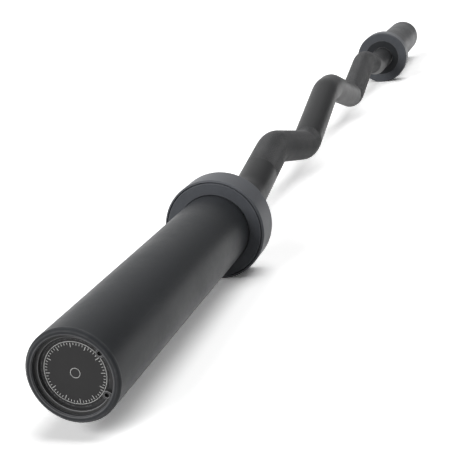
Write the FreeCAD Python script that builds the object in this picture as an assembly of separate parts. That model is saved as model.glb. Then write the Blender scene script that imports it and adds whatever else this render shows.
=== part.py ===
import FreeCAD, Part
import math
import os

# A cranked curl bar: one bent steel shaft with a plate sleeve that turns freely on each end.
# Millimetres, +Z up. +X runs along the bar, the bends lie in the XZ plane, and the bar
# stands on its two collars, with the origin under the middle of the shaft.

os.makedirs("parts", exist_ok=True)

# Plate sleeve: a thick tube with a turned seat for the collar and a wider mouth for the end cap
sleeve_diameter = 50.0
sleeve_load_length = 232.0
sleeve_rim_chamfer = 1.6
sleeve_mouth_wall = 4.0
sleeve_mouth_chamfer = 0.6
collar_seat_step = 1.0

# Collar: the ring that stops the plates, with a chamfered bore that leaves a fine gap at its root
collar_height = 10.5
collar_width = 25.0
collar_edge_chamfer = 1.2
collar_root_gap = 0.3

# Bent shaft: runs are measured along the bar, rises from the bar's axis
shaft_diameter = 28.0
centre_flat_length = 30.6
inner_grip_run = 119.1
outer_grip_run = 117.1
lead_run = 90.5
straight_run = 68.0
centre_rise = 23.9
valley_drop = 7.6
outer_rise = 17.4
bend_radius = 60.0
shaft_entry = 4.0

# Journal: the turned end of the shaft inside the sleeve
journal_shoulder_height = 2.0
journal_tip_land = 3.0
journal_tip_chamfer = 1.0
journal_tip_clearance = 2.0

# Bronze bushes: pressed into the sleeve, running on the journal
bush_wall = 2.5
bush_length = 34.0
bush_edge_chamfer = 0.5
running_clearance = 0.05
end_float = 0.2

# Thrust washers: slipped on the journal at each end of the sleeve
washer_thickness = 1.5
washer_bore_clearance = 0.1
washer_rim_clearance = 0.4

# Shaft retaining ring: an outside snap ring at the journal's tip
shaft_ring_thickness = 1.2
shaft_ring_groove_depth = 0.55
shaft_ring_back_width = 3.0
shaft_ring_tip_width = 2.1
shaft_ring_lug_reach = 4.2
shaft_ring_lug_radius = 1.8
shaft_ring_hole_diameter = 2.0
shaft_ring_lug_clearance = 0.5

# End cap: a disc in the sleeve's mouth, held by an inside snap ring
cap_thickness = 3.0
cap_clearance = 0.1
cap_edge_chamfer = 0.4

# End cap retaining ring: an inside snap ring with two plier holes
cap_ring_depth = 2.6
cap_ring_thickness = 1.75
cap_ring_groove_depth = 1.2
cap_ring_back_width = 3.2
cap_ring_tip_width = 2.4
cap_ring_lug_reach = 5.6
cap_ring_lug_radius = 2.3
cap_ring_hole_diameter = 2.5

# Room between a snap ring and the walls of its groove
ring_groove_clearance = 0.1

# Label disc: set flush in a shallow recess of the end cap
label_margin = 3.4
label_thickness = 0.4
label_clearance = 0.1

# Snap rings open towards -Y, with their lugs at these angles to the middle of the gap
cap_ring_lug_angle = 35.0
shaft_ring_lug_angle = 22.0

# Heights and radii that follow
shaft_radius = shaft_diameter / 2
sleeve_radius = sleeve_diameter / 2
collar_radius = sleeve_radius + collar_height
axis_height = collar_radius
seat_radius = sleeve_radius - collar_seat_step
journal_radius = shaft_radius - journal_shoulder_height
bush_bore_radius = journal_radius + running_clearance
bush_radius = bush_bore_radius + bush_wall
shaft_groove_radius = journal_radius - shaft_ring_groove_depth
shaft_ring_radius = shaft_groove_radius + ring_groove_clearance
ring_room_radius = shaft_ring_radius + shaft_ring_lug_reach + shaft_ring_lug_clearance
cap_seat_radius = sleeve_radius - sleeve_mouth_wall
cap_groove_radius = cap_seat_radius + cap_ring_groove_depth
cap_radius = cap_seat_radius - cap_clearance
label_radius = cap_radius - label_margin

# Places along the bar, from its middle outwards
first_bend = centre_flat_length / 2
valley_bend = first_bend + inner_grip_run
outer_bend = valley_bend + outer_grip_run
lead_bend = outer_bend + lead_run
collar_inner_face = lead_bend + straight_run
collar_outer_face = collar_inner_face + collar_width
sleeve_end = collar_outer_face + sleeve_load_length
cap_ring_outer_face = sleeve_end - cap_ring_depth
cap_outer_face = cap_ring_outer_face - cap_ring_thickness
cap_inner_face = cap_outer_face - cap_thickness
journal_tip = cap_inner_face - journal_tip_clearance
shaft_ring_outer_face = journal_tip - journal_tip_land
shaft_ring_inner_face = shaft_ring_outer_face - shaft_ring_thickness
outer_washer_inner_face = shaft_ring_inner_face - washer_thickness
outer_bush_outer_face = outer_washer_inner_face - end_float
outer_bush_inner_face = outer_bush_outer_face - bush_length
journal_shoulder = collar_inner_face + shaft_entry
inner_washer_outer_face = journal_shoulder + washer_thickness
inner_bush_inner_face = inner_washer_outer_face + end_float

ALONG_BAR = FreeCAD.Vector(1, 0, 0)
AXIS_POINT = FreeCAD.Vector(0, 0, axis_height)


def turned(profile):
    """Turn a closed outline of (distance along the bar, radius) points about the bar's axis."""
    points = [FreeCAD.Vector(along, 0, axis_height + radius) for along, radius in profile]
    face = Part.Face(Part.makePolygon(points + points[:1]))
    return face.revolve(AXIS_POINT, ALONG_BAR, 360)


def disc(radius, along, thickness, across=0):
    """A round plate on the bar's axis, or beside it, that starts at a distance along the bar."""
    centre = FreeCAD.Vector(along, across, axis_height)
    return Part.makeCylinder(radius, thickness, centre, ALONG_BAR)


def washer(inner_radius, outer_radius, start, end):
    """A plain flat ring on the bar's axis."""
    return turned([(start, inner_radius), (end, inner_radius), (end, outer_radius), (start, outer_radius)])


def rounded_path(corners, radius):
    """A line through (distance along the bar, rise) corners, with a tangent arc at each bend."""
    points = [FreeCAD.Vector(along, 0, axis_height + rise) for along, rise in corners]
    edges = []
    start = points[0]
    for before, corner, after in zip(points, points[1:], points[2:]):
        back = (before - corner).normalize()
        ahead = (after - corner).normalize()
        half_angle = back.getAngle(ahead) / 2
        tangent = radius / math.tan(half_angle)
        to_centre = (back + ahead).normalize()
        middle = corner + to_centre * (radius / math.sin(half_angle) - radius)
        arc_start = corner + back * tangent
        arc_end = corner + ahead * tangent
        edges.append(Part.LineSegment(start, arc_start).toShape())
        edges.append(Part.Arc(arc_start, middle, arc_end).toShape())
        start = arc_end
    edges.append(Part.LineSegment(start, points[-1]).toShape())
    return Part.Wire(edges)


def bent_shaft():
    """The gripped bar with its bends, and a turned journal with a ring groove on each end."""
    half_line = [
        (first_bend, centre_rise),
        (valley_bend, -valley_drop),
        (outer_bend, outer_rise),
        (lead_bend, 0),
        (journal_shoulder, 0),
    ]
    corners = [(-along, rise) for along, rise in reversed(half_line)] + half_line
    path = rounded_path(corners, bend_radius)
    start = FreeCAD.Vector(-journal_shoulder, 0, axis_height)
    section = Part.Wire(Part.makeCircle(shaft_radius, start, ALONG_BAR))
    bar = path.makePipeShell([section], True, True)
    groove_start = shaft_ring_inner_face - ring_groove_clearance
    groove_end = shaft_ring_outer_face + ring_groove_clearance
    journal = turned([
        (journal_shoulder, 0),
        (journal_shoulder, journal_radius),
        (groove_start, journal_radius),
        (groove_start, shaft_groove_radius),
        (groove_end, shaft_groove_radius),
        (groove_end, journal_radius),
        (journal_tip - journal_tip_chamfer, journal_radius),
        (journal_tip, journal_radius - journal_tip_chamfer),
        (journal_tip, 0),
    ])
    return bar.fuse([journal, mirrored(journal)])


def sleeve_tube():
    """The plate tube, bored for the bushes, with the end cap's seat and ring groove in its mouth."""
    groove_start = cap_outer_face - ring_groove_clearance
    groove_end = cap_ring_outer_face + ring_groove_clearance
    return turned([
        (collar_inner_face, bush_radius),
        (collar_inner_face, seat_radius),
        (collar_outer_face, seat_radius),
        (collar_outer_face, sleeve_radius),
        (sleeve_end - sleeve_rim_chamfer, sleeve_radius),
        (sleeve_end, sleeve_radius - sleeve_rim_chamfer),
        (sleeve_end, cap_seat_radius + sleeve_mouth_chamfer),
        (sleeve_end - sleeve_mouth_chamfer, cap_seat_radius),
        (groove_end, cap_seat_radius),
        (groove_end, cap_groove_radius),
        (groove_start, cap_groove_radius),
        (groove_start, cap_seat_radius),
        (cap_inner_face, cap_seat_radius),
        (cap_inner_face, ring_room_radius),
        (outer_bush_outer_face, ring_room_radius),
        (outer_bush_outer_face, bush_radius),
    ])


def collar():
    """The plate stop, pressed on the turned seat of the sleeve."""
    bore_chamfer = collar_seat_step + collar_root_gap
    return turned([
        (collar_inner_face, seat_radius),
        (collar_outer_face - bore_chamfer, seat_radius),
        (collar_outer_face, seat_radius + bore_chamfer),
        (collar_outer_face, collar_radius - collar_edge_chamfer),
        (collar_outer_face - collar_edge_chamfer, collar_radius),
        (collar_inner_face + collar_edge_chamfer, collar_radius),
        (collar_inner_face, collar_radius - collar_edge_chamfer),
    ])


def bush(start):
    """A plain bronze bush, with its outer edges chamfered for pressing in."""
    end = start + bush_length
    return turned([
        (start, bush_bore_radius),
        (end, bush_bore_radius),
        (end, bush_radius - bush_edge_chamfer),
        (end - bush_edge_chamfer, bush_radius),
        (start + bush_edge_chamfer, bush_radius),
        (start, bush_radius - bush_edge_chamfer),
    ])


def inner_thrust_washer():
    """The washer between the shaft's shoulder and the inner bush."""
    bore = journal_radius + washer_bore_clearance
    return washer(bore, bush_radius - washer_rim_clearance, journal_shoulder, inner_washer_outer_face)


def outer_thrust_washer():
    """The washer between the outer bush and the shaft's retaining ring."""
    bore = journal_radius + washer_bore_clearance
    rim = ring_room_radius - washer_rim_clearance
    return washer(bore, rim, outer_washer_inner_face, shaft_ring_inner_face)


def lug(hole_radius, radius, root_radius, angle, along, thickness):
    """A rounded ear of a snap ring, from its plier hole to the ring, turned from the gap at -Y."""
    low = min(hole_radius, root_radius)
    reach = abs(hole_radius - root_radius)
    ear = disc(radius, along, thickness, -hole_radius)
    corner = FreeCAD.Vector(along, -low - reach, axis_height - radius)
    ear = ear.fuse(Part.makeBox(thickness, reach, 2 * radius, corner))
    ear.rotate(AXIS_POINT, ALONG_BAR, angle)
    return ear


def plier_hole(hole_radius, diameter, angle, along, thickness):
    """The hole in a lug."""
    hole = disc(diameter / 2, along, thickness, -hole_radius)
    hole.rotate(AXIS_POINT, ALONG_BAR, angle)
    return hole


def gap_wedge(reach, angle, along, thickness):
    """The open sector of a snap ring, between the middles of its two lugs."""
    spread = math.radians(angle)
    tip = FreeCAD.Vector(along, 0, axis_height)
    low = tip + FreeCAD.Vector(0, -reach * math.cos(spread), -reach * math.sin(spread))
    high = tip + FreeCAD.Vector(0, -reach * math.cos(spread), reach * math.sin(spread))
    face = Part.Face(Part.makePolygon([tip, low, high, tip]))
    return face.extrude(ALONG_BAR * thickness)


def shaft_retaining_ring():
    """An outside snap ring in the journal's groove: widest at its back, with two outward lugs."""
    along = shaft_ring_inner_face
    thickness = shaft_ring_thickness
    inner = shaft_ring_radius
    mean_width = (shaft_ring_back_width + shaft_ring_tip_width) / 2
    shift = (shaft_ring_back_width - shaft_ring_tip_width) / 2
    hole_radius = inner + shaft_ring_lug_reach - shaft_ring_lug_radius
    wedge_reach = 2 * (inner + shaft_ring_lug_reach)
    ring = disc(inner + mean_width, along, thickness, shift)
    ring = ring.cut(gap_wedge(wedge_reach, shaft_ring_lug_angle, along, thickness))
    for angle in (-shaft_ring_lug_angle, shaft_ring_lug_angle):
        ring = ring.fuse(lug(hole_radius, shaft_ring_lug_radius, inner, angle, along, thickness))
    ring = ring.cut(disc(inner, along, thickness))
    for angle in (-shaft_ring_lug_angle, shaft_ring_lug_angle):
        ring = ring.cut(plier_hole(hole_radius, shaft_ring_hole_diameter, angle, along, thickness))
    return ring


def end_cap_retaining_ring():
    """An inside snap ring in the sleeve's mouth: widest at its back, with two inward lugs."""
    along = cap_outer_face
    thickness = cap_ring_thickness
    outer = cap_groove_radius - ring_groove_clearance
    mean_width = (cap_ring_back_width + cap_ring_tip_width) / 2
    shift = (cap_ring_back_width - cap_ring_tip_width) / 2
    hole_radius = outer - cap_ring_lug_reach + cap_ring_lug_radius
    blank = disc(outer, along, thickness)
    ring = blank.cut(disc(outer - mean_width, along, thickness, -shift))
    ring = ring.cut(gap_wedge(2 * outer, cap_ring_lug_angle, along, thickness))
    for angle in (-cap_ring_lug_angle, cap_ring_lug_angle):
        ear = lug(hole_radius, cap_ring_lug_radius, outer, angle, along, thickness)
        ring = ring.fuse(ear.common(blank))
    for angle in (-cap_ring_lug_angle, cap_ring_lug_angle):
        ring = ring.cut(plier_hole(hole_radius, cap_ring_hole_diameter, angle, along, thickness))
    return ring


def end_cap():
    """The disc that closes the sleeve, with a shallow recess for the label."""
    recess_radius = label_radius + label_clearance
    return turned([
        (cap_inner_face, 0),
        (cap_inner_face, cap_radius),
        (cap_outer_face - cap_edge_chamfer, cap_radius),
        (cap_outer_face, cap_radius - cap_edge_chamfer),
        (cap_outer_face, recess_radius),
        (cap_outer_face - label_thickness, recess_radius),
        (cap_outer_face - label_thickness, 0),
    ])


def end_label():
    """The thin bare disc in the end cap's recess."""
    return disc(label_radius, cap_outer_face - label_thickness, label_thickness)


def mirrored(shape):
    """The same piece on the other end of the bar."""
    return shape.mirror(FreeCAD.Vector(0, 0, 0), ALONG_BAR)


def save(shape, node):
    """Write one solid to its own file."""
    solid = shape.removeSplitter().Solids[0]
    solid.exportStep(f"parts/{node}.step")
    print(f"{node}: {solid.Volume:.0f} mm3, valid {solid.isValid()}")


end_pieces = {
    "sleeve_tube": sleeve_tube(),
    "collar": collar(),
    "inner_bush": bush(inner_bush_inner_face),
    "outer_bush": bush(outer_bush_inner_face),
    "inner_thrust_washer": inner_thrust_washer(),
    "outer_thrust_washer": outer_thrust_washer(),
    "shaft_retaining_ring": shaft_retaining_ring(),
    "end_cap": end_cap(),
    "end_cap_retaining_ring": end_cap_retaining_ring(),
    "end_label": end_label(),
}

save(bent_shaft(), "bent_shaft")
for name, piece in end_pieces.items():
    save(mirrored(piece), f"left_{name}")
    save(piece, f"right_{name}")
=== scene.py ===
import math

import bmesh
import bpy
import numpy as np
from bpy.props import FloatProperty, FloatVectorProperty, IntProperty, PointerProperty
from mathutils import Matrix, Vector


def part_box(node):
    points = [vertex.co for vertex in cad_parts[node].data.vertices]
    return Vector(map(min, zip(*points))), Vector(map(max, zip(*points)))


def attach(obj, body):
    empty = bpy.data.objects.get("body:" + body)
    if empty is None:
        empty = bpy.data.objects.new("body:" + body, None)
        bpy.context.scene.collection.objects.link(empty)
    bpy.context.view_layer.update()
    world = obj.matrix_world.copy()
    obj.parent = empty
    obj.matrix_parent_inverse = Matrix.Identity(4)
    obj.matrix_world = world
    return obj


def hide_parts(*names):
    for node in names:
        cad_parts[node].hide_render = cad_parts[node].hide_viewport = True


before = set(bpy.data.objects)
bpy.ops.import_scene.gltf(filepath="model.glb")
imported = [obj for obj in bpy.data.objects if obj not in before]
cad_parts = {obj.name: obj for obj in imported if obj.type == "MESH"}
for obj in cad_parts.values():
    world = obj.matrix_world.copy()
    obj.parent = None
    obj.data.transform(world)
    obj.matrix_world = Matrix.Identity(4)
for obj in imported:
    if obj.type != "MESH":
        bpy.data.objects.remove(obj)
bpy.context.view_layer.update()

bl_info = {
    "name": "Curl bar",
    "version": (1, 0, 0),
    "blender": (4, 5, 0),
    "location": "3D View > Sidebar > Curl bar",
    "description": "Dresses a cranked curl bar: knurled shaft, plate sleeves, collars and end caps",
    "category": "Object",
}

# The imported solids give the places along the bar; +X is the right end, and both ends are alike.
ENDS = {"left": -1, "right": 1}

BEND_STEPS = 64  # Steps along the arc of a bend.
EDGE_STEPS = 4  # Steps round a softened edge.
PRINT_STEPS = 96  # Steps round a printed ring.
LONG_TICK_EVERY = 5  # Ticks from one long tick to the next.
MIDDLE_RING = 0.16  # Radius of the dial's middle ring, as a share of the dial's.
SHARP_STEP = 0.00002  # Length of a sharp step on a journal.
WELD = 0.000001  # Points that lie nearer than this become one.
FLAT = math.radians(0.5)  # Faces that turn less than this become one.
BAR_CREASE = math.radians(30)  # Edges of the bar that turn further stay sharp.
TURNED_CREASE = math.radians(28)  # The same for the turned pieces.
RING_CREASE = math.radians(40)  # Edges of a snap ring that turn further are bevelled.
RING_BEVEL_SLOPE = (0.25, 0.97)  # How much a bevel's face looks along the bar, at least and at most.
WHITE = (1, 1, 1, 1)


def near_face(piece):
    """The distance from the middle of the bar to the inner face of an end piece."""
    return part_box(f"right_{piece}")[0].x


def far_face(piece):
    """The distance from the middle of the bar to the outer face of an end piece."""
    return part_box(f"right_{piece}")[1].x


def length(name, description, default):
    """A size in metres."""
    return FloatProperty(name=name, description=description, default=default, precision=5, unit="LENGTH")


def share(name, description, default):
    """A number between 0 and 1."""
    return FloatProperty(name=name, description=description, default=default, min=0, max=1, subtype="FACTOR")


def colour(name, description, default):
    """A colour in linear light."""
    return FloatVectorProperty(name=name, description=description, default=default, min=0, max=1, subtype="COLOR")


def count(name, description, default):
    """A whole number."""
    return IntProperty(name=name, description=description, default=default, min=1)


def amount(name, description, default):
    """A number from 0 up."""
    return FloatProperty(name=name, description=description, default=default, min=0)


def opening(name, description, default):
    """The angle that a light covers."""
    return FloatProperty(name=name, description=description, default=default, subtype="ANGLE")


def direction(name, description, default):
    """A way that leads off from the bar."""
    return FloatVectorProperty(name=name, description=description, default=default, subtype="DIRECTION")


class ShaftSizes(bpy.types.PropertyGroup):
    """The bent bar between the sleeves, its knurled grips and its journals."""

    diameter: length("Diameter", "Thickness of the gripped bar", 0.028)
    axis_height: length("Axis height", "Height of the sleeves' axis over the floor", 0.0355)
    centre_flat: length("Centre flat", "Run between the two middle bends", 0.0306)
    inner_run: length("Inner grip run", "Run of the inner grip, along the bar", 0.1191)
    outer_run: length("Outer grip run", "Run of the outer grip, along the bar", 0.1171)
    lead_run: length("Lead run", "Run from the outer bend down to the axis", 0.0905)
    centre_rise: length("Centre rise", "Height of the middle over the axis", 0.0239)
    valley_drop: length("Valley drop", "Depth of the inner bends under the axis", 0.0076)
    outer_rise: length("Outer rise", "Height of the outer bends over the axis", 0.0174)
    bend_radius: length("Bend radius", "Radius of every bend", 0.06)
    shoulder: length("Shoulder", "Distance from the middle to the journal's shoulder", near_face("inner_thrust_washer"))
    tip: length("Tip", "Distance from the middle to the journal's tip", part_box("bent_shaft")[1].x)
    shoulder_step: length("Shoulder step", "What is turned off the radius of the journal", 0.002)
    groove_depth: length("Groove depth", "Depth of the snap ring's groove", 0.00055)
    groove_room: length("Groove room", "Room on each side of the snap ring", 0.0001)
    tip_chamfer: length("Tip chamfer", "Chamfer of the journal's tip", 0.001)
    knurl_start: length("Knurl start", "Distance from the middle where a grip's knurl starts", 0.122)
    knurl_end: length("Knurl end", "Distance from the middle where a grip's knurl ends", 0.306)
    knurl_row: length("Knurl row", "Half the length of a knurl diamond", 0.0009)
    knurl_depth: length("Knurl depth", "Depth of the knurl's grooves", 0.00035)
    runout: count("Knurl runout", "Rows over which the knurl fades in and out", 3)
    plain_row: length("Plain row", "Length of a step along the plain bar", 0.004)
    sides: count("Sides", "Steps round the bar, two for each knurl diamond", 128)


class SleeveSizes(bpy.types.PropertyGroup):
    """The plate sleeve and the collar on its inner end."""

    diameter: length("Diameter", "Thickness of the sleeve that carries the plates", 0.05)
    rim_chamfer: length("Rim chamfer", "Chamfer of the outer rim", 0.0016)
    mouth_wall: length("Mouth wall", "Wall of the sleeve beside the end cap", 0.004)
    mouth_chamfer: length("Mouth chamfer", "Chamfer inside the mouth", 0.0006)
    groove_depth: length("Groove depth", "Depth of the cap ring's groove", 0.0012)
    groove_room: length("Groove room", "Room on each side of the cap ring", 0.0001)
    bush_radius: length("Bush radius", "Radius of the bore that holds the bushes", 0.01455)
    ring_room: length("Ring room", "Radius of the bore round the shaft's snap ring", 0.01625)
    seat_step: length("Seat step", "What is turned off the radius under the collar", 0.001)
    collar_diameter: length("Collar diameter", "Thickness across the collar", 0.071)
    collar_chamfer: length("Collar chamfer", "Chamfer of the collar's rims", 0.0012)
    collar_root_gap: length("Collar root gap", "Fine gap between the collar's face and the sleeve", 0.0006)
    collar_line: length("Collar line", "Width of the fine groove round the collar's outer face", 0.0011)
    collar_line_depth: length("Collar line depth", "Depth of that groove", 0.0012)
    edge_round: length("Edge round", "Radius that softens the turned edges", 0.0003)
    sides: count("Sides", "Steps round the sleeve and the collar", 160)


class CapSizes(bpy.types.PropertyGroup):
    """The end cap in the sleeve's mouth, its snap ring and its label."""

    radius: length("Radius", "Radius of the end cap", 0.0209)
    chamfer: length("Chamfer", "Chamfer of the end cap", 0.0004)
    recess_radius: length("Recess radius", "Radius of the label's recess", 0.0176)
    label_radius: length("Label radius", "Radius of the label", 0.0175)
    edge_round: length("Edge round", "Radius that softens the cap's edges", 0.00012)
    ring_bevel: length("Ring bevel", "Bevel of the snap ring's edges", 0.0003)
    dial_radius: length("Dial radius", "Outer radius of the printed ticks", 0.0158)
    tick_length: length("Tick length", "Length of a short tick", 0.0011)
    long_tick: length("Long tick", "Length of every fifth tick", 0.0023)
    tick_width: length("Tick width", "Width of a tick", 0.0003)
    print_height: length("Print height", "Thickness of the print", 0.00004)
    ticks: count("Ticks", "Ticks on the dial", 60)
    sides: count("Sides", "Steps round the cap and the label", 128)


class Finishes(bpy.types.PropertyGroup):
    """The colours of the surfaces."""

    shaft: colour("Shaft", "Baked black coat of the bar", (0.0274, 0.0280, 0.0290))
    sleeve: colour("Sleeve", "Baked black coat of the sleeves", (0.0252, 0.0270, 0.0298))
    collar: colour("Collar", "Baked black coat of the collars", (0.0850, 0.0900, 0.1000))
    cap: colour("End cap", "Satin black of the end caps", (0.0280, 0.0280, 0.0290))
    label: colour("Label", "Dark film of the labels", (0.0210, 0.0206, 0.0210))
    ink: colour("Print", "Pale print on the labels", (0.60, 0.60, 0.59))
    # This colour is both rubbed coat and painted highlight: it lightens the rounded edges, the sleeve's mouth, the
    # knurl's crests and the snap rings' bevels.
    worn_and_highlight: colour("Worn edge", "Coat rubbed thin on the edges", (0.2500, 0.2500, 0.2570))
    coat_roughness: share("Coat roughness", "Roughness of the baked black coat", 0.4)
    coat_shine: share("Coat shine", "Strength of the coat's reflections", 0.135)
    phosphate: colour("Snap ring", "Dark phosphate of the snap rings", (0.0400, 0.0400, 0.0400))
    steel: colour("Washers", "Ground steel of the thrust washers", (0.56, 0.56, 0.57))
    bronze: colour("Bushes", "Sintered bronze of the bushes", (0.52, 0.33, 0.16))


class StageSizes(bpy.types.PropertyGroup):
    """The floor, the light and the camera."""

    floor: colour("Floor", "Paper of the floor, before it is lifted to white where it is seen", (0.45, 0.45, 0.45))
    floor_size: length("Floor size", "Side of the floor", 40.0)
    floor_lift: amount("Floor lift", "How much brighter the paper is where it is seen", 2.1)
    floor_glow: share("Floor glow", "Share of plain white that is seen in the floor", 0.05)
    room_light: share("Room light", "Strength of the white room", 0.051)
    room_dim: share("Room dim side", "How bright the dim side of the room is in reflections", 0.08)
    room_way: direction("Room way", "The way to the bright side of the room", (0.25, 0.9, 0.1))
    key_strength: amount("Key strength", "Soft light in front, at the left", 2.38)
    key_spread: opening("Key spread", "How wide the key light is", 0.7)
    key_way: direction("Key way", "The way to the key light", (-0.85, 0.54, 0.61))
    top_strength: amount("Top strength", "Soft light from above", 2.04)
    top_spread: opening("Top spread", "How wide the top light is", 0.9)
    top_way: direction("Top way", "The way to the top light", (0.12, -0.36, 1.0))
    lens: FloatProperty(
        name="Lens", description="Focal length on a 36 mm sensor", default=79.29, subtype="DISTANCE_CAMERA"
    )
    camera_place: FloatVectorProperty(
        name="Camera place",
        description="Where the camera stands",
        default=(-1.0548, -0.2162, 0.2217),
        subtype="XYZ_LENGTH",
    )
    camera_turn: FloatVectorProperty(
        name="Camera turn",
        description="How the camera is turned",
        default=(1.28868, 0.12722, -1.28397),
        subtype="EULER",
    )
    camera_shift: FloatVectorProperty(
        name="Camera shift", description="Shift of the picture", default=(-0.0012, 0.0164), size=2
    )


class BarSettings(bpy.types.PropertyGroup):
    """Everything that can be changed on the bar."""

    shaft: PointerProperty(type=ShaftSizes)
    sleeve: PointerProperty(type=SleeveSizes)
    cap: PointerProperty(type=CapSizes)
    finish: PointerProperty(type=Finishes)
    stage: PointerProperty(type=StageSizes)


class Wire:
    """An output of a node; sums of wires add Math nodes to their tree."""

    def __init__(self, board, socket):
        self.board = board
        self.socket = socket

    def beside(self, name):
        """Another output of the same node."""
        return Wire(self.board, self.board.find(self.socket.node.outputs, name))

    def __add__(self, other):
        return self.board.sum("ADD", self, other)

    def __radd__(self, other):
        return self.board.sum("ADD", other, self)

    def __sub__(self, other):
        return self.board.sum("SUBTRACT", self, other)

    def __rsub__(self, other):
        return self.board.sum("SUBTRACT", other, self)

    def __mul__(self, other):
        return self.board.sum("MULTIPLY", self, other)

    def __rmul__(self, other):
        return self.board.sum("MULTIPLY", other, self)

    def __truediv__(self, other):
        return self.board.sum("DIVIDE", self, other)

    def __rtruediv__(self, other):
        return self.board.sum("DIVIDE", other, self)

    def __mod__(self, other):
        return self.board.sum("MODULO", self, other)

    def __rmod__(self, other):
        return self.board.sum("MODULO", other, self)

    def __lt__(self, other):
        return self.board.sum("LESS_THAN", self, other)

    def __gt__(self, other):
        return self.board.sum("GREATER_THAN", self, other)


class Board:
    """A node tree that is filled node by node."""

    def __init__(self, tree):
        self.tree = tree
        tree.nodes.clear()

    @staticmethod
    def find(sockets, name):
        """A socket by its identifier, or else by the name it shows."""
        for socket in sockets:
            if socket.identifier == name:
                return socket
        for socket in sockets:
            if socket.name == name and socket.enabled:
                return socket
        raise KeyError(name)

    def node(self, kind, settings=(), sockets=(), output=None):
        """Add a node: its settings first, then the values, links or lists of links of its sockets."""
        made = self.tree.nodes.new(kind)
        for key, value in dict(settings).items():
            setattr(made, key, value)
        for key, value in dict(sockets).items():
            socket = self.find(made.inputs, key)
            wires = [value] if isinstance(value, Wire) else value
            if isinstance(wires, list):
                for wire in wires:
                    self.tree.links.new(wire.socket, socket)
            else:
                socket.default_value = value
        if not made.outputs:
            return None
        first = next(socket for socket in made.outputs if socket.enabled)
        return Wire(self, self.find(made.outputs, output) if output else first)

    def sum(self, operation, first, second):
        """One Math node."""
        return self.node("ShaderNodeMath", {"operation": operation}, {"Value": first, "Value_001": second})

    def maths(self, operation, first):
        """A Math node of one value, such as a root or a sine."""
        return self.node("ShaderNodeMath", {"operation": operation}, {"Value": first})

    def scaled(self, vector, by):
        """A vector made longer or shorter."""
        return self.node("ShaderNodeVectorMath", {"operation": "SCALE"}, {"Vector": vector, "Scale": by})

    def stretched(self, vector, by):
        """A vector multiplied by three numbers."""
        return self.node("ShaderNodeVectorMath", {"operation": "MULTIPLY"}, {"Vector": vector, "Vector_001": by})

    def noise(self, place, scale, detail=2.0, roughness=0.5):
        """Cloudy noise between 0 and 1."""
        sockets = {"Vector": place, "Scale": scale, "Detail": detail, "Roughness": roughness}
        return self.node("ShaderNodeTexNoise", {}, sockets)

    def between(self, value, low, high):
        """A smooth step from 0 at low to 1 at high."""
        sockets = {"Value": value, "From Min": low, "From Max": high}
        return self.node("ShaderNodeMapRange", {"interpolation_type": "SMOOTHSTEP"}, sockets)

    def mixed(self, factor, first, second):
        """A colour between two colours."""
        sockets = {"Factor_Float": factor, "A_Color": first, "B_Color": second}
        return self.node("ShaderNodeMix", {"data_type": "RGBA"}, sockets, "Result_Color")

    def attribute(self, name):
        """A number kept on the mesh."""
        return self.node("ShaderNodeAttribute", {"attribute_name": name}, {}, "Fac")

    def bump(self, height, distance):
        """A normal that follows a height."""
        return self.node("ShaderNodeBump", {}, {"Height": height, "Distance": distance})


class Recipe(Board):
    """A Geometry Nodes tree with named inputs."""

    def __init__(self, name):
        super().__init__(bpy.data.node_groups.new(name, "GeometryNodeTree"))
        self.tree.interface.new_socket("Geometry", in_out="OUTPUT", socket_type="NodeSocketGeometry")
        self.node("NodeGroupInput")
        self.named = {}

    def entry(self, name, kind):
        """A named input of the tree, which its first node hands out."""
        item = self.tree.interface.new_socket(name, in_out="INPUT", socket_type=f"NodeSocket{kind}")
        self.named[name] = item.identifier
        return Wire(self, self.find(self.tree.nodes[0].outputs, item.identifier))

    def kept(self, geometry, name, value, kind="FLOAT"):
        """Keep a value on the points."""
        sockets = {"Geometry": geometry, "Name": name, "Value": value}
        return self.node("GeometryNodeStoreNamedAttribute", {"data_type": kind, "domain": "POINT"}, sockets)

    def recall(self, name, kind="FLOAT"):
        """A value that was kept on the points."""
        return self.node("GeometryNodeInputNamedAttribute", {"data_type": kind}, {"Name": name}, "Attribute")

    def moved(self, geometry, offset):
        """The points moved by an offset."""
        return self.node("GeometryNodeSetPosition", {}, {"Geometry": geometry, "Offset": offset})

    def end(self, geometry, finish):
        """Realise what was made, give it its finish and hand it out."""
        solid = self.node("GeometryNodeRealizeInstances", {}, {"Geometry": geometry})
        solid = self.node("GeometryNodeSetMaterial", {}, {"Geometry": solid, "Material": finish})
        self.node("NodeGroupOutput", {}, {"Geometry": solid})

    def run(self, piece, values):
        """Run the tree on an object and leave a plain mesh."""
        modifier = piece.modifiers.new(self.tree.name, "NODES")
        modifier.node_group = self.tree
        for name, value in values.items():
            modifier[self.named[name]] = value
        made_plain(piece)


def made_plain(piece):
    """Turn an object's modifiers into its mesh."""
    bpy.context.view_layer.update()
    graph = bpy.context.evaluated_depsgraph_get()
    mesh = bpy.data.meshes.new_from_object(piece.evaluated_get(graph), preserve_all_data_layers=True, depsgraph=graph)
    piece.modifiers.clear()
    blank = piece.data
    piece.data = mesh
    bpy.data.meshes.remove(blank)
    mesh.name = piece.name


def new_piece(name, mesh=None):
    """An object at the origin."""
    piece = bpy.data.objects.new(name, mesh or bpy.data.meshes.new(name))
    bpy.context.scene.collection.objects.link(piece)
    return piece


def mounted(piece, body, nodes):
    """Let a finished piece ride on its body, in the place of its solids."""
    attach(piece, body)
    if nodes:
        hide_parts(*nodes)


def settings():
    """The bar's settings in this scene."""
    return bpy.context.scene.curl_bar


def rgba(paint, by=1.0):
    """A colour with its alpha, made lighter or darker."""
    return (*(channel * by for channel in paint), 1.0)


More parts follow.
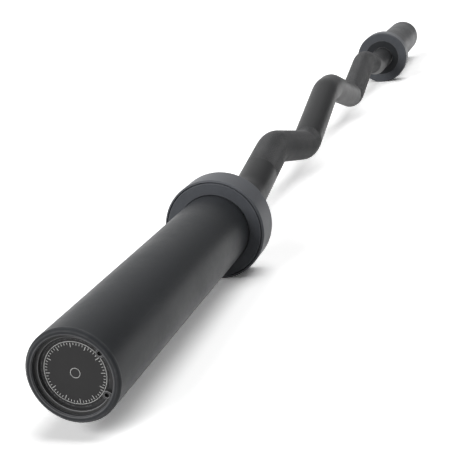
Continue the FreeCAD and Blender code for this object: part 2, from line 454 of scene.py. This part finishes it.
class Paint(Board):
    """A material whose nodes start from the piece's own place."""

    def __init__(self, name):
        self.material = bpy.data.materials.new(name)
        self.material.use_nodes = True
        super().__init__(self.material.node_tree)
        self.place = self.node("ShaderNodeTexCoord", {}, {}, "Object")

    def from_axis(self):
        """The distance from the sleeves' axis."""
        across = self.node("ShaderNodeSeparateXYZ", {}, {"Vector": self.place}, "Y")
        rise = across.beside("Z") - settings().shaft.axis_height
        return self.maths("SQRT", across * across + rise * rise)

    def done(self, sockets):
        """Finish with one surface shader."""
        surface = self.node("ShaderNodeBsdfPrincipled", {}, sockets)
        self.node("ShaderNodeOutputMaterial", {}, {"Surface": surface})
        return self.material


def black_coat(name, paint, wear_and_light_mask, grain_height):
    """A baked matte coat: fine grain, faint clouds, and thin places where it is rubbed, which also carry painted
    highlights and reflections.
    """
    board = Paint(name)
    finish = settings().finish
    clouds = board.noise(board.place, scale=28, detail=3)
    patches = board.noise(board.place, scale=190, detail=3, roughness=0.6)
    grain = board.noise(board.place, scale=2600, detail=2, roughness=0.6)
    tone = board.between(clouds * 0.6 + patches * 0.4, 0.3, 0.7)
    coat = board.mixed(tone, rgba(paint, 0.92), rgba(paint, 1.12))
    wear_and_painted_light = wear_and_light_mask(board)
    # The pale colour here is partly real rubbing and partly painted highlights on edges and a painted reflection on the
    # knurl's crests.
    coat = board.mixed(wear_and_painted_light, coat, rgba(finish.worn_and_highlight))
    rough = finish.coat_roughness + (tone - 0.5) * 0.10 + (grain - 0.5) * 0.12 - wear_and_painted_light * 0.10
    return board.done({
        "Base Color": coat,
        "Roughness": rough,
        "Specular IOR Level": finish.coat_shine,
        "Normal": board.bump(grain + patches * 0.5, grain_height),
    })


def crest_wear_and_reflection(board):
    """Knurl crests that hands have rubbed, lightened further as a painted reflection of the bright room."""
    rubbed = board.between(board.noise(board.place, scale=60, detail=3), 0.35, 0.7)
    # The steady share of pale colour on every crest is partly rubbing and partly a painted reflection that lightens the
    # knurl.
    return board.attribute("crest") * (rubbed * 0.12 + 0.36)


def edge_wear_and_highlight(board):
    """Rubbed edges, with fine scuffs that run the way the plates slide; the lighter rounded edges are partly rubbed
    coat and partly a painted highlight.
    """
    broken = board.between(board.noise(board.place, scale=150, detail=3, roughness=0.6), 0.3, 0.8)
    streaks = board.noise(board.stretched(board.place, (14, 900, 900)), scale=1, detail=3, roughness=0.6)
    fade = board.between(board.noise(board.place, scale=16, detail=2), 0.45, 0.7)
    scuffs = board.between(streaks, 0.64, 0.76) * fade
    # The edge mark lightens the rounded edges, partly as rubbed coat and partly as a painted highlight where they catch
    # the light.
    return board.attribute("edge") * (broken * 0.12 + 0.06) + scuffs * 0.06


def rim_wear_and_mouth_highlight(board):
    """The sleeve's rubbed edges, with a painted highlight round its mouth."""
    sizes = settings().sleeve
    mouth = sizes.diameter / 2 - sizes.mouth_wall
    fade = 0.001
    inside = 1 - board.between(board.from_axis(), mouth + fade, mouth + 2 * fade)
    # The extra lightening inside the mouth is a painted highlight on the mouth's chamfer.
    return edge_wear_and_highlight(board) + board.attribute("edge") * inside * 0.3


def shaft_black():
    """The bar's coat."""
    return black_coat("shaft_black", settings().finish.shaft, crest_wear_and_reflection, 0.00002)


def sleeve_black():
    """The sleeves' coat."""
    return black_coat("sleeve_black", settings().finish.sleeve, rim_wear_and_mouth_highlight, 0.000015)


def collar_black():
    """The collars' coat."""
    return black_coat("collar_black", settings().finish.collar, edge_wear_and_highlight, 0.000015)


def turned_face(board, pitch, depth):
    """Fine rings that the lathe left on a face."""
    radius = board.from_axis() + (board.noise(board.place, scale=90, detail=2) - 0.5) * (pitch * 0.3)
    rings = board.maths("SINE", radius * (2 * math.pi / pitch))
    return board.bump(rings, depth)


def cap_black():
    """The satin coat of the end caps, with faint turning rings under it."""
    board = Paint("cap_black")
    finish = settings().finish
    clouds = board.noise(board.place, scale=150, detail=3)
    broken = board.between(board.noise(board.place, scale=700, detail=3), 0.45, 0.6)
    coat = board.mixed(clouds, rgba(finish.cap), rgba(finish.cap, 1.3))
    coat = board.mixed(board.attribute("edge") * broken * 0.5, coat, rgba(finish.worn_and_highlight))
    return board.done({
        "Base Color": coat,
        "Roughness": 0.36 + (clouds - 0.5) * 0.16,
        "Specular IOR Level": 0.2,
        "Normal": turned_face(board, 0.0005, 0.000006),
    })


def label_black():
    """Dark printed film with a soft sheen."""
    board = Paint("label_black")
    finish = settings().finish
    clouds = board.noise(board.place, scale=220, detail=3)
    peel = board.noise(board.place, scale=1500, detail=2)
    return board.done({
        "Base Color": board.mixed(clouds, rgba(finish.label), rgba(finish.label, 1.25)),
        "Roughness": 0.40 + (clouds - 0.5) * 0.14,
        "Specular IOR Level": 0.2,
        "Normal": board.bump(peel, 0.000008),
    })


def label_white():
    """Pale ink, a little thin in places."""
    board = Paint("label_white")
    finish = settings().finish
    thin = board.between(board.noise(board.place, scale=1800, detail=3), 0.35, 0.65)
    return board.done({
        "Base Color": board.mixed(thin, rgba(finish.ink, 0.82), rgba(finish.ink)),
        "Roughness": 0.5 + (thin - 0.5) * 0.1,
    })


def dark_phosphate():
    """The snap rings: dark crystalline phosphate with an oily sheen, and bevelled edges lightened as rubbed steel and
    as a painted highlight.
    """
    board = Paint("dark_phosphate")
    finish = settings().finish
    crystals = board.noise(board.place, scale=3200, detail=3, roughness=0.65)
    clouds = board.noise(board.place, scale=260, detail=3)
    skin = board.mixed(crystals * 0.6 + clouds * 0.4, rgba(finish.phosphate), rgba(finish.phosphate, 1.6))
    # The bevels take the pale colour as rubbed steel and as a painted highlight where they catch the light.
    wear_and_painted_light = board.attribute("edge") * (clouds * 0.4 + 0.6)
    return board.done({
        "Base Color": board.mixed(wear_and_painted_light, skin, rgba(finish.worn_and_highlight)),
        "Roughness": 0.46 + (crystals - 0.5) * 0.2,
        "Specular IOR Level": 0.2,
        "Normal": board.bump(crystals, 0.00001),
    })


def ground_steel():
    """The thrust washers: ground steel with fine circular lines."""
    board = Paint("ground_steel")
    finish = settings().finish
    clouds = board.noise(board.place, scale=300, detail=3)
    return board.done({
        "Base Color": board.mixed(clouds, rgba(finish.steel, 0.75), rgba(finish.steel)),
        "Metallic": 1.0,
        "Roughness": 0.28 + (clouds - 0.5) * 0.16,
        "Normal": turned_face(board, 0.0003, 0.000006),
    })


def sintered_bronze():
    """The bushes: porous bronze, darker where oil fills the pores."""
    board = Paint("sintered_bronze")
    finish = settings().finish
    pores = board.between(board.noise(board.place, scale=2400, detail=3, roughness=0.65), 0.38, 0.6)
    clouds = board.noise(board.place, scale=180, detail=3)
    return board.done({
        "Base Color": board.mixed(pores * 0.7 + clouds * 0.3, rgba(finish.bronze, 0.45), rgba(finish.bronze)),
        "Metallic": 1.0,
        "Roughness": 0.42 + (clouds - 0.5) * 0.2,
        "Normal": board.bump(pores, 0.00002),
    })


def bent_line(sizes):
    """Points (along, height) of the bar's middle line from shoulder to shoulder, with an arc at each bend."""
    first = sizes.centre_flat / 2
    valley = first + sizes.inner_run
    outer = valley + sizes.outer_run
    lead = outer + sizes.lead_run
    half = [
        (first, sizes.centre_rise),
        (valley, -sizes.valley_drop),
        (outer, sizes.outer_rise),
        (lead, 0),
        (sizes.shoulder, 0),
    ]
    corners = [(-along, rise) for along, rise in reversed(half)] + half
    corners = [Vector((along, sizes.axis_height + rise)) for along, rise in corners]
    line = [corners[0]]
    for before, corner, after in zip(corners, corners[1:], corners[2:]):
        line += arc(before, corner, after, sizes.bend_radius, BEND_STEPS)
    return np.array([tuple(point) for point in line + corners[-1:]])


def arc(before, corner, after, radius, steps):
    """Points of the round arc that touches both lines of a corner."""
    back = (before - corner).normalized()
    ahead = (after - corner).normalized()
    half_angle = back.angle(ahead) / 2
    centre = corner + (back + ahead).normalized() * (radius / math.sin(half_angle))
    start = corner + back * (radius / math.tan(half_angle)) - centre
    end = corner + ahead * (radius / math.tan(half_angle)) - centre
    turn = start.angle(end)
    return [
        centre + (start * math.sin(turn * (1 - step / steps)) + end * math.sin(turn * step / steps)) / math.sin(turn)
        for step in range(steps + 1)
    ]


def bar_rows(sizes):
    """Rows of the bar from tip to tip: (along, height, what is thinned off, share of the knurl's depth)."""
    line = bent_line(sizes)
    run = np.concatenate([[0], np.cumsum(np.hypot(*np.diff(line, axis=0).T))])
    marks = [-sizes.shoulder, -sizes.knurl_end, -sizes.knurl_start, sizes.knurl_start, sizes.knurl_end, sizes.shoulder]
    stops = np.interp(marks, line[:, 0], run)
    rows = []
    for number, (start, end) in enumerate(zip(stops, stops[1:])):
        knurled = number in (1, 3)
        steps = math.ceil((end - start) / (sizes.knurl_row if knurled else sizes.plain_row))
        for step, place in enumerate(np.linspace(start, end, steps + 1)[:-1]):
            cut = min(step, steps - step, sizes.runout) / sizes.runout if knurled else 0
            rows.append((np.interp(place, run, line[:, 0]), np.interp(place, run, line[:, 1]), 0, cut))
    journal = journal_rows(sizes)
    mirrored = [(-along, height, thin, cut) for along, height, thin, cut in reversed(journal)]
    return mirrored + rows[1:] + journal


def journal_rows(sizes):
    """Rows of the right journal, from its shoulder to its closed tip."""
    ring_start = near_face("shaft_retaining_ring") - sizes.groove_room
    ring_end = far_face("shaft_retaining_ring") + sizes.groove_room
    step = sizes.shoulder_step
    groove = step + sizes.groove_depth
    places = [
        (sizes.shoulder - SHARP_STEP, 0),
        (sizes.shoulder, step),
        (ring_start - SHARP_STEP, step),
        (ring_start, groove),
        (ring_end, groove),
        (ring_end + SHARP_STEP, step),
        (sizes.tip - sizes.tip_chamfer, step),
        (sizes.tip - SHARP_STEP, step + sizes.tip_chamfer),
        (sizes.tip, sizes.diameter / 2),
    ]
    return [(along, sizes.axis_height, thin, 0) for along, thin in places]


def knurled_bar_recipe():
    """A round bar along a line of points, thinned where they say so, with diamond knurl on its grips."""
    tree = Recipe("knurled_bar")
    line = tree.entry("Geometry", "Geometry")
    sides = tree.entry("Sides", "Int")
    radius = tree.entry("Radius", "Float")
    depth = tree.entry("Knurl depth", "Float")
    finish = tree.entry("Finish", "Material")
    path = tree.node("GeometryNodeMeshToCurve", {}, {"Mesh": line})
    ring = tree.node("GeometryNodeCurvePrimitiveCircle", {"mode": "RADIUS"}, {"Resolution": sides, "Radius": radius})
    ring = tree.kept(ring, "side", tree.node("GeometryNodeInputIndex"))
    bar = tree.node("GeometryNodeCurveToMesh", {}, {"Curve": path, "Profile Curve": ring})
    bar = tree.kept(bar, "outward", tree.node("GeometryNodeInputNormal"), "FLOAT_VECTOR")
    grip = tree.recall("grip")
    groove = grip * ((tree.recall("row") + tree.recall("side")) % 2)
    full_cut = grip > 0.9
    bar = tree.kept(bar, "crest", (grip - groove) * full_cut)
    outward = tree.recall("outward", "FLOAT_VECTOR")
    # Grooves cut far too deep make every square split along its groove; they are then filled to their true depth.
    deep = radius * 0.4
    bar = tree.moved(bar, tree.scaled(outward, (tree.recall("thin") + groove * deep) * -1))
    bar = tree.node("GeometryNodeTriangulate", {"quad_method": "SHORTEST_DIAGONAL"}, {"Mesh": bar})
    bar = tree.moved(bar, tree.scaled(outward, groove * (deep - depth)))
    bar = tree.node("GeometryNodeMergeByDistance", {}, {"Geometry": bar, "Distance": WELD})
    plain = grip < 0.1
    smooth = {"Geometry": bar, "Shade Smooth": plain}
    bar = tree.node("GeometryNodeSetShadeSmooth", {"domain": "FACE"}, smooth)
    turn = tree.node("GeometryNodeInputMeshEdgeAngle", {}, {}, "Unsigned Angle")
    smooth = {"Geometry": bar, "Shade Smooth": turn < BAR_CREASE}
    bar = tree.node("GeometryNodeSetShadeSmooth", {"domain": "EDGE"}, smooth)
    tree.end(bar, finish)
    return tree


def softened(outline, radius):
    """A closed outline with its outward corners rounded and held by firm points: (along, radius, on an edge)."""
    # A corner's edge mark lightens it in the finishes, as rubbed coat and as a painted highlight.
    round_share = 0.3  # The most of a side that a corner's round takes.
    fade_share = 0.45  # The most of a side that a corner's edge mark reaches over.
    nearly_straight = math.radians(85)  # A corner with a wider half angle stays as it is.
    firm_gap, fade_gap = 0.5, 3  # Radii from the round to its firm point and to the end of its edge mark.
    firm_edge_mark = 0.6
    points = [Vector(point) for point in outline]
    area = sum(a.x * b.y - b.x * a.y for a, b in zip(points, points[1:] + points[:1]))
    made = []
    for index, corner in enumerate(points):
        before = points[index - 1]
        after = points[(index + 1) % len(points)]
        back = before - corner
        ahead = after - corner
        outward = (back.x * ahead.y - back.y * ahead.x) * area < 0
        half_angle = back.angle(ahead) / 2
        if corner.y == 0 or not outward or half_angle > nearly_straight:
            made.append((corner, 0))
            continue
        fits = min(radius, min(back.length, ahead.length) * round_share * math.tan(half_angle))
        round_end = fits / math.tan(half_angle)
        held = []
        for side in (back, ahead):
            fade = min(round_end + fits * fade_gap, side.length * fade_share)
            firm = round_end + fits * firm_gap
            held.append([(corner + side.normalized() * fade, 0), (corner + side.normalized() * firm, firm_edge_mark)])
        rounded = [(point, 1) for point in arc(before, corner, after, fits, EDGE_STEPS)]
        made += held[0] + rounded + held[1][::-1]
    return [(point.x, point.y, edge) for point, edge in made]


def turned(name, outline, end, sides, edge_round, finish):
    """A closed piece turned about the sleeves' axis, with its edges marked for rubbing and for painted highlights."""
    axis_height = settings().shaft.axis_height
    profile = softened(outline, edge_round)
    shape = bmesh.new()
    edge_layer = shape.verts.layers.float.new("edge")
    rings = []
    for along, radius, edge in profile:
        ring = []
        for step in range(sides if radius > 0 else 1):
            angle = 2 * math.pi * step / sides
            place = (end * along, radius * math.cos(angle), axis_height + radius * math.sin(angle))
            vert = shape.verts.new(place)
            vert[edge_layer] = edge
            ring.append(vert)
        rings.append(ring)
    for ring, following in zip(rings, rings[1:] + rings[:1]):
        for step in range(sides):
            corners = []
            for vert in (
                ring[step % len(ring)],
                ring[(step + 1) % len(ring)],
                following[(step + 1) % len(following)],
                following[step % len(following)],
            ):
                if vert not in corners:
                    corners.append(vert)
            if len(corners) > 2:
                shape.faces.new(corners)
    bmesh.ops.recalc_face_normals(shape, faces=shape.faces)
    for face in shape.faces:
        face.smooth = True
    for edge in shape.edges:
        edge.smooth = edge.calc_face_angle(0) < TURNED_CREASE
    piece = new_piece(name)
    shape.to_mesh(piece.data)
    shape.free()
    piece.data.materials.append(finish)
    return piece


def sleeve_outline(sizes):
    """The plate sleeve, cut along its axis."""
    outer = sizes.diameter / 2
    seat = outer - sizes.seat_step
    mouth = outer - sizes.mouth_wall
    groove = mouth + sizes.groove_depth
    start = near_face("sleeve_tube")
    end = far_face("sleeve_tube")
    shoulder = far_face("collar")
    groove_start = near_face("end_cap_retaining_ring") - sizes.groove_room
    groove_end = far_face("end_cap_retaining_ring") + sizes.groove_room
    cap_seat = near_face("end_cap")
    bush_end = far_face("outer_bush")
    return [
        (start, sizes.bush_radius),
        (start, seat),
        (shoulder, seat),
        (shoulder, outer),
        (end - sizes.rim_chamfer, outer),
        (end, outer - sizes.rim_chamfer),
        (end, mouth + sizes.mouth_chamfer),
        (end - sizes.mouth_chamfer, mouth),
        (groove_end, mouth),
        (groove_end, groove),
        (groove_start, groove),
        (groove_start, mouth),
        (cap_seat, mouth),
        (cap_seat, sizes.ring_room),
        (bush_end, sizes.ring_room),
        (bush_end, sizes.bush_radius),
    ]


def collar_outline(sizes):
    """The collar, cut along its axis."""
    outer = sizes.collar_diameter / 2
    bore = sizes.diameter / 2 - sizes.seat_step
    root = sizes.seat_step + sizes.collar_root_gap
    chamfer = sizes.collar_chamfer
    line = outer - chamfer - sizes.collar_line
    start = near_face("collar")
    end = far_face("collar")
    return [
        (start, bore),
        (end - root, bore),
        (end, bore + root),
        (end, line),
        (end - sizes.collar_line_depth, line + sizes.collar_line / 2),
        (end, outer - chamfer),
        (end - chamfer, outer),
        (start + chamfer, outer),
        (start, outer - chamfer),
    ]


def cap_outline(sizes):
    """The end cap, cut along its axis."""
    start = near_face("end_cap")
    end = far_face("end_cap")
    floor = near_face("end_label")
    return [
        (start, 0),
        (start, sizes.radius),
        (end - sizes.chamfer, sizes.radius),
        (end, sizes.radius - sizes.chamfer),
        (end, sizes.recess_radius),
        (floor, sizes.recess_radius),
        (floor, 0),
    ]


def label_outline(sizes):
    """The label, cut along its axis."""
    start = near_face("end_label")
    end = far_face("end_label")
    return [(start, 0), (start, sizes.label_radius), (end, sizes.label_radius), (end, 0)]


def dial_recipe():
    """Printed ticks round a circle, every fifth one longer, with a fine line round them and a ring in the middle."""
    tree = Recipe("printed_dial")
    tree.entry("Geometry", "Geometry")
    ticks = tree.entry("Ticks", "Int")
    radius = tree.entry("Dial radius", "Float")
    short = tree.entry("Tick length", "Float")
    long = tree.entry("Long tick", "Float")
    width = tree.entry("Tick width", "Float")
    height = tree.entry("Print height", "Float")
    place = tree.entry("Place", "Vector")
    turn = tree.entry("Turn", "Rotation")
    finish = tree.entry("Finish", "Material")
    circle = tree.node("GeometryNodeMeshCircle", {"fill_type": "NONE"}, {"Vertices": ticks, "Radius": radius})
    number = tree.node("GeometryNodeInputIndex")
    reach = short + (number % LONG_TICK_EVERY < 0.5) * (long - short)
    spin = tree.node("ShaderNodeCombineXYZ", {}, {"Z": number / ticks * (2 * math.pi)})
    size = tree.node("ShaderNodeCombineXYZ", {}, {"X": reach, "Y": width, "Z": height})
    bar = tree.node("GeometryNodeMeshCube", {}, {"Size": (1, 1, 1)})
    bar = tree.node("GeometryNodeTransform", {}, {"Geometry": bar, "Translation": (-0.5, 0, 0)})
    sockets = {"Points": circle, "Instance": bar, "Rotation": spin, "Scale": size}
    dial = tree.node("GeometryNodeInstanceOnPoints", {}, sockets)
    rim = ring_of_print(tree, radius + width * 2, width, height)
    middle = ring_of_print(tree, radius * MIDDLE_RING, width, height)
    joined = tree.node("GeometryNodeJoinGeometry", {}, {"Geometry": [dial, rim, middle]})
    sockets = {"Geometry": joined, "Translation": place, "Rotation": turn}
    tree.end(tree.node("GeometryNodeTransform", {}, sockets), finish)
    return tree


def ring_of_print(tree, radius, width, height):
    """A fine flat printed ring."""
    sockets = {"Resolution": PRINT_STEPS, "Radius": radius}
    circle = tree.node("GeometryNodeCurvePrimitiveCircle", {"mode": "RADIUS"}, sockets)
    strip = tree.node("GeometryNodeCurvePrimitiveQuadrilateral", {}, {"Width": width, "Height": height})
    return tree.node("GeometryNodeCurveToMesh", {}, {"Curve": circle, "Profile Curve": strip})


class CURLBAR_OT_shaft(bpy.types.Operator):
    """Make the bent bar with its knurled grips and journals"""

    bl_idname = "curl_bar.shaft"
    bl_label = "Bent shaft"

    def execute(self, context):
        sizes = settings().shaft
        rows = bar_rows(sizes)
        piece = new_piece("bar_with_knurl")
        points = [(along, 0, height) for along, height, thin, cut in rows]
        links = [(index, index + 1) for index in range(len(rows) - 1)]
        piece.data.from_pydata(points, links, [])
        kept = {
            "row": range(len(rows)),
            "thin": [thin for along, height, thin, cut in rows],
            "grip": [cut for along, height, thin, cut in rows],
        }
        for name, values in kept.items():
            layer = piece.data.attributes.new(name, "FLOAT", "POINT")
            layer.data.foreach_set("value", [float(value) for value in values])
        knurled_bar_recipe().run(piece, {
            "Sides": sizes.sides,
            "Radius": sizes.diameter / 2,
            "Knurl depth": sizes.knurl_depth,
            "Finish": shaft_black(),
        })
        for name in ("row", "side", "thin", "grip", "outward"):
            piece.data.attributes.remove(piece.data.attributes[name])
        mounted(piece, "shaft", ["bent_shaft"])
        return {"FINISHED"}


class CURLBAR_OT_sleeves(bpy.types.Operator):
    """Make the two plate sleeves"""

    bl_idname = "curl_bar.sleeves"
    bl_label = "Plate sleeves"

    def execute(self, context):
        sizes = settings().sleeve
        finish = sleeve_black()
        for side, end in ENDS.items():
            piece = turned(f"{side}_plate_sleeve", sleeve_outline(sizes), end, sizes.sides, sizes.edge_round, finish)
            mounted(piece, f"{side}_sleeve", [f"{side}_sleeve_tube"])
        return {"FINISHED"}


class CURLBAR_OT_collars(bpy.types.Operator):
    """Make the two collars that stop the plates"""

    bl_idname = "curl_bar.collars"
    bl_label = "Collars"

    def execute(self, context):
        sizes = settings().sleeve
        finish = collar_black()
        for side, end in ENDS.items():
            piece = turned(f"{side}_stop_collar", collar_outline(sizes), end, sizes.sides, sizes.edge_round, finish)
            mounted(piece, f"{side}_sleeve", [f"{side}_collar"])
        return {"FINISHED"}


class CURLBAR_OT_caps(bpy.types.Operator):
    """Make the end caps and the labels in them"""

    bl_idname = "curl_bar.caps"
    bl_label = "End caps and labels"

    def execute(self, context):
        sizes = settings().cap
        coat = cap_black()
        film = label_black()
        for side, end in ENDS.items():
            cap = turned(f"{side}_cap_disc", cap_outline(sizes), end, sizes.sides, sizes.edge_round, coat)
            mounted(cap, f"{side}_sleeve", [f"{side}_end_cap"])
            label = turned(f"{side}_label_disc", label_outline(sizes), end, sizes.sides, sizes.edge_round, film)
            mounted(label, f"{side}_sleeve", [f"{side}_end_label"])
        return {"FINISHED"}


class CURLBAR_OT_dials(bpy.types.Operator):
    """Print a plain dial of ticks on the labels"""

    bl_idname = "curl_bar.dials"
    bl_label = "Label print"

    def execute(self, context):
        sizes = settings().cap
        recipe = dial_recipe()
        ink = label_white()
        for side, end in ENDS.items():
            piece = new_piece(f"{side}_label_dial")
            recipe.run(piece, {
                "Ticks": sizes.ticks,
                "Dial radius": sizes.dial_radius,
                "Tick length": sizes.tick_length,
                "Long tick": sizes.long_tick,
                "Tick width": sizes.tick_width,
                "Print height": sizes.print_height,
                "Place": (end * far_face("end_label"), 0, settings().shaft.axis_height),
                "Turn": (0, end * math.pi / 2, 0),
                "Finish": ink,
            })
            mounted(piece, f"{side}_sleeve", [])
        return {"FINISHED"}


class CURLBAR_OT_cap_rings(bpy.types.Operator):
    """Soften the edges of the snap rings that hold the end caps"""

    bl_idname = "curl_bar.cap_rings"
    bl_label = "Cap snap rings"

    def execute(self, context):
        sizes = settings().cap
        finish = dark_phosphate()
        for side in ENDS:
            node = f"{side}_end_cap_retaining_ring"
            piece = new_piece(f"{side}_cap_snap_ring")
            shape = bmesh.new()
            shape.from_mesh(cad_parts[node].data)
            bmesh.ops.remove_doubles(shape, verts=shape.verts, dist=WELD)
            bmesh.ops.dissolve_limit(shape, angle_limit=FLAT, verts=shape.verts, edges=shape.edges)
            shape.to_mesh(piece.data)
            shape.free()
            bevel = piece.modifiers.new("edges", "BEVEL")
            bevel.width = sizes.ring_bevel
            bevel.segments = 2
            bevel.limit_method = "ANGLE"
            bevel.angle_limit = RING_CREASE
            made_plain(piece)
            # The bevel faces are marked so that the finish lightens them, as rubbing and as a painted highlight.
            edge = piece.data.attributes.new("edge", "FLOAT", "FACE")
            least, most = RING_BEVEL_SLOPE
            for face in piece.data.polygons:
                edge.data[face.index].value = least < abs(face.normal.x) < most
            piece.data.materials.clear()
            piece.data.materials.append(finish)
            mounted(piece, f"{side}_sleeve", [node])
        return {"FINISHED"}


class CURLBAR_OT_bearings(bpy.types.Operator):
    """Give the bushes, washers and inner snap rings their finishes"""

    bl_idname = "curl_bar.bearings"
    bl_label = "Bearings"

    def execute(self, context):
        finishes = {
            "inner_bush": sintered_bronze(),
            "inner_thrust_washer": ground_steel(),
            "shaft_retaining_ring": bpy.data.materials["dark_phosphate"],
        }
        finishes["outer_bush"] = finishes["inner_bush"]
        finishes["outer_thrust_washer"] = finishes["inner_thrust_washer"]
        for side in ENDS:
            for piece, finish in finishes.items():
                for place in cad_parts[f"{side}_{piece}"].material_slots:
                    place.material = finish
        return {"FINISHED"}


class CURLBAR_OT_stage(bpy.types.Operator):
    """Set the white floor, the soft light and the camera"""

    bl_idname = "curl_bar.stage"
    bl_label = "Stage"

    def execute(self, context):
        sizes = settings().stage
        self.floor(sizes)
        self.room(sizes)
        self.lamp("key_lamp", sizes.key_strength, sizes.key_spread, sizes.key_way)
        self.lamp("top_lamp", sizes.top_strength, sizes.top_spread, sizes.top_way)
        self.camera(sizes)
        context.scene.view_settings.view_transform = "Standard"
        return {"FINISHED"}

    @staticmethod
    def rays(board):
        """1 for rays from the camera, and 1 for rays from mirrors and glass; plain light has neither."""
        camera = board.node("ShaderNodeLightPath", {}, {}, "Is Camera Ray")
        return camera, camera.beside("Is Glossy Ray") + camera.beside("Is Transmission Ray")

    def floor(self, sizes):
        """Paper that is lifted to white where it is seen, and keeps the bar's shadow."""
        board = Paint("floor_white")
        camera, mirrors = self.rays(board)
        seen = camera + mirrors
        paper = board.mixed(seen, rgba(sizes.floor), rgba(sizes.floor, 1 + sizes.floor_lift))
        matt = board.node("ShaderNodeBsdfDiffuse", {}, {"Color": paper})
        plain = board.node("ShaderNodeEmission", {}, {"Color": WHITE, "Strength": seen * sizes.floor_glow})
        both = board.node("ShaderNodeAddShader", {}, {"Shader": matt, "Shader_001": plain})
        board.node("ShaderNodeOutputMaterial", {}, {"Surface": both})
        half = sizes.floor_size / 2
        corners = [(-half, -half, 0), (half, -half, 0), (half, half, 0), (-half, half, 0)]
        floor = new_piece("floor")
        floor.data.from_pydata(corners, [], [(0, 1, 2, 3)])
        floor.data.materials.append(board.material)

    def room(self, sizes):
        """A white room: plain white where it is seen, weak as a light, and dim on one side in reflections."""
        world = bpy.data.worlds.new("white_room")
        world.use_nodes = True
        board = Board(world.node_tree)
        way = board.node("ShaderNodeTexCoord", {}, {}, "Generated")
        sockets = {"Vector": way, "Vector_001": Vector(sizes.room_way).normalized()}
        bright = board.node("ShaderNodeVectorMath", {"operation": "DOT_PRODUCT"}, sockets, "Value")
        dim_end, bright_end = -0.5, 0.7
        mirrored = board.between(bright, dim_end, bright_end) * (1 - sizes.room_dim) + sizes.room_dim
        camera, mirrors = self.rays(board)
        seen = camera + mirrors * mirrored
        strength = seen * (1 - sizes.room_light) + sizes.room_light
        light = board.node("ShaderNodeBackground", {}, {"Color": WHITE, "Strength": strength})
        board.node("ShaderNodeOutputWorld", {}, {"Surface": light})
        bpy.context.scene.world = world

    @staticmethod
    def lamp(name, strength, spread, towards):
        """A wide soft light from far away, turned by the way to it."""
        data = bpy.data.lights.new(name, "SUN")
        data.energy = strength
        data.angle = spread
        lamp = new_piece(name, data)
        lamp.rotation_euler = Vector(towards).to_track_quat("Z", "Y").to_euler()

    @staticmethod
    def camera(sizes):
        """The camera, where the bar is seen from its left end."""
        data = bpy.data.cameras.new("camera")
        data.lens = sizes.lens
        data.shift_x, data.shift_y = sizes.camera_shift
        camera = new_piece("camera", data)
        camera.location = sizes.camera_place
        camera.rotation_euler = sizes.camera_turn
        bpy.context.scene.camera = camera


OPERATORS = (
    CURLBAR_OT_shaft,
    CURLBAR_OT_sleeves,
    CURLBAR_OT_collars,
    CURLBAR_OT_caps,
    CURLBAR_OT_dials,
    CURLBAR_OT_cap_rings,
    CURLBAR_OT_bearings,
    CURLBAR_OT_stage,
)


class CURLBAR_PT_sidebar(bpy.types.Panel):
    """The bar's sizes, colours and making steps"""

    bl_label = "Curl bar"
    bl_space_type = "VIEW_3D"
    bl_region_type = "UI"
    bl_category = "Curl bar"

    def draw(self, context):
        for operator in OPERATORS:
            self.layout.operator(operator.bl_idname)
        bar = context.scene.curl_bar
        for group in (bar.shaft, bar.sleeve, bar.cap, bar.finish, bar.stage):
            box = self.layout.box()
            for name in group.__annotations__:
                box.prop(group, name)


CLASSES = (
    ShaftSizes,
    SleeveSizes,
    CapSizes,
    Finishes,
    StageSizes,
    BarSettings,
    *OPERATORS,
    CURLBAR_PT_sidebar,
)


def register():
    """Make the settings, operators and panel known to Blender."""
    for each in CLASSES:
        bpy.utils.register_class(each)
    bpy.types.Scene.curl_bar = PointerProperty(type=BarSettings)


def unregister():
    """Take them out again."""
    del bpy.types.Scene.curl_bar
    for each in reversed(CLASSES):
        bpy.utils.unregister_class(each)


def main():
    """Make the bar and its stage."""
    register()
    bpy.ops.curl_bar.shaft()
    bpy.ops.curl_bar.sleeves()
    bpy.ops.curl_bar.collars()
    bpy.ops.curl_bar.caps()
    bpy.ops.curl_bar.dials()
    bpy.ops.curl_bar.cap_rings()
    bpy.ops.curl_bar.bearings()
    bpy.ops.curl_bar.stage()


if __name__ == "__main__":
    main()
